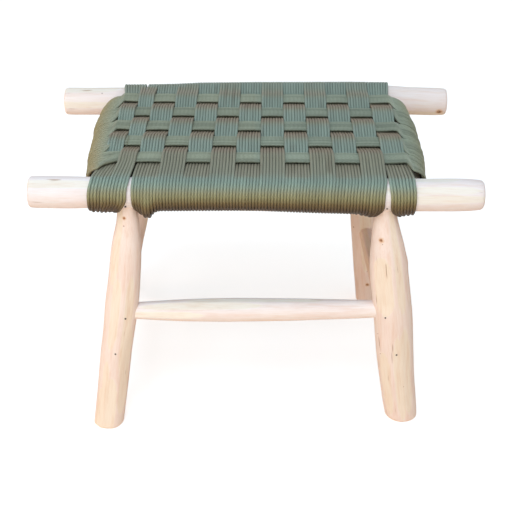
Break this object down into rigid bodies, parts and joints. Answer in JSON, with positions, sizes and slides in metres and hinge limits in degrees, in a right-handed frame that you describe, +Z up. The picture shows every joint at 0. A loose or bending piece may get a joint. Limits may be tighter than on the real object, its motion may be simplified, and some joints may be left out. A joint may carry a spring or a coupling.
{
  "type": "stool",
  "caption": "Low rectangular stool of peeled branches with splayed legs, stretchers between them, and a seat of braided cord wound round the rails and woven across.",
  "frame": {"origin": "on the floor, under the middle of the stool's bounding box", "axes": "+X along the rails, to the right as seen from the front, +Y to the rear and +Z up"},
  "size_m": [0.6, 0.4041, 0.3938],
  "materials": {
    "peeled wood": "matt, hewn with a drawknife, unvarnished",
    "green cord": "fine braid with a faint sheen",
    "steel nail": "dull, darkened"
  },
  "bodies": {
    "root": {"front_rail": "peeled wood", "rear_rail": "peeled wood", "left_side_rail": "peeled wood", "right_side_rail": "peeled wood", "front_left_leg": "peeled wood", "front_right_leg": "peeled wood", "rear_left_leg": "peeled wood", "rear_right_leg": "peeled wood", "front_stretcher": "peeled wood", "rear_stretcher": "peeled wood", "left_stretcher": "peeled wood", "right_stretcher": "peeled wood", "warp_band_01": "green cord", "warp_band_02": "green cord", "warp_band_03": "green cord", "warp_band_04": "green cord", "warp_band_05": "green cord", "warp_band_06": "green cord", "warp_band_07": "green cord", "warp_band_08": "green cord", "warp_band_09": "green cord", "warp_band_10": "green cord", "warp_band_11": "green cord", "warp_band_12": "green cord", "warp_band_13": "green cord", "weft_band_1": "green cord", "weft_band_2": "green cord", "weft_band_3": "green cord", "weft_band_4": "green cord", "weft_band_5": "green cord", "rail_nails": "steel nail", "stretcher_nails": "steel nail"}
  },
  "joints": []
}
